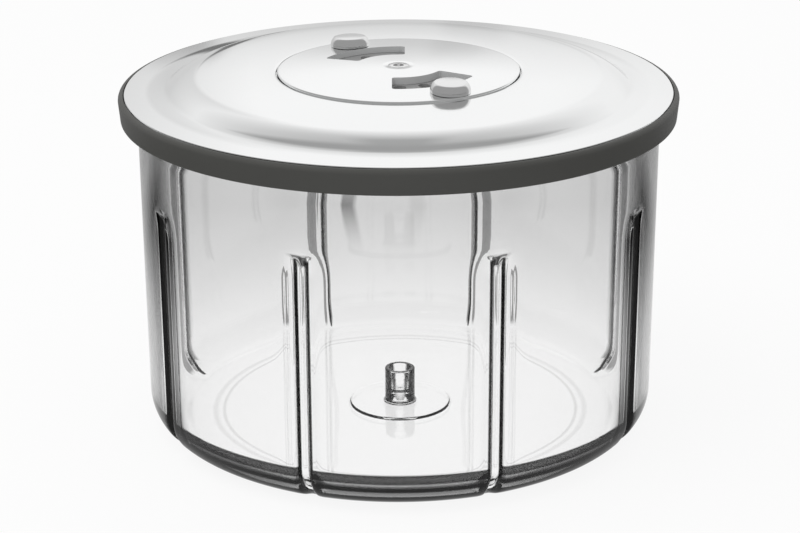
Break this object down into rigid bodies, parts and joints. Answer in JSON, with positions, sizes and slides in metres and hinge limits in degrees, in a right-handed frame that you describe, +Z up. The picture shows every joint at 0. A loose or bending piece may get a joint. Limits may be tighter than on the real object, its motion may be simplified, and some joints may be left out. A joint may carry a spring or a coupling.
{
  "type": "lidded food prep bowl",
  "caption": "Clear ribbed kitchen bowl with a centre pivot boss and a lift-off steel lid carrying a turning vent dial with finger knobs.",
  "frame": {"origin": "centre of the bowl's foot, on the surface it stands on", "axes": "+Z up along the bowl's axis, which is also the dial's; -Y to the front of the picture; +X to its right"},
  "size_m": [0.1634, 0.1634, 0.111],
  "materials": {
    "clear_plastic": "clear glossy plastic",
    "polished_steel": "polished sheet steel",
    "dial_steel": "polished sheet steel",
    "dark_plastic": "matt dark grey",
    "liner_plastic": "satin grey",
    "vent_plastic": "satin grey",
    "seal_silicone": "soft translucent grey",
    "knob_metal": "satin",
    "rivet_metal": "satin"
  },
  "bodies": {
    "bowl": {"bowl": "clear_plastic"},
    "lid": {"seal_ring": "seal_silicone", "lid_liner": "liner_plastic", "rim_band": "dark_plastic", "lid_cover": "polished_steel", "vent_plate": "vent_plastic", "pivot_rivet": "rivet_metal", "spring_washer": "rivet_metal", "retaining_washer": "rivet_metal"},
    "dial": {"vent_dial": "dial_steel", "knob_front": "knob_metal", "knob_rear": "knob_metal"}
  },
  "joints": [
    {"name": "lid_lift", "type": "slide", "parent": "bowl", "child": "lid", "axis": [0, 0, 1], "range_m": [0, 0.12]},
    {"name": "dial_turn", "type": "hinge", "parent": "lid", "child": "dial", "pos_m": [0, 0, 0.108], "axis": [0, 0, 1], "range_deg": [0, 90]}
  ]
}
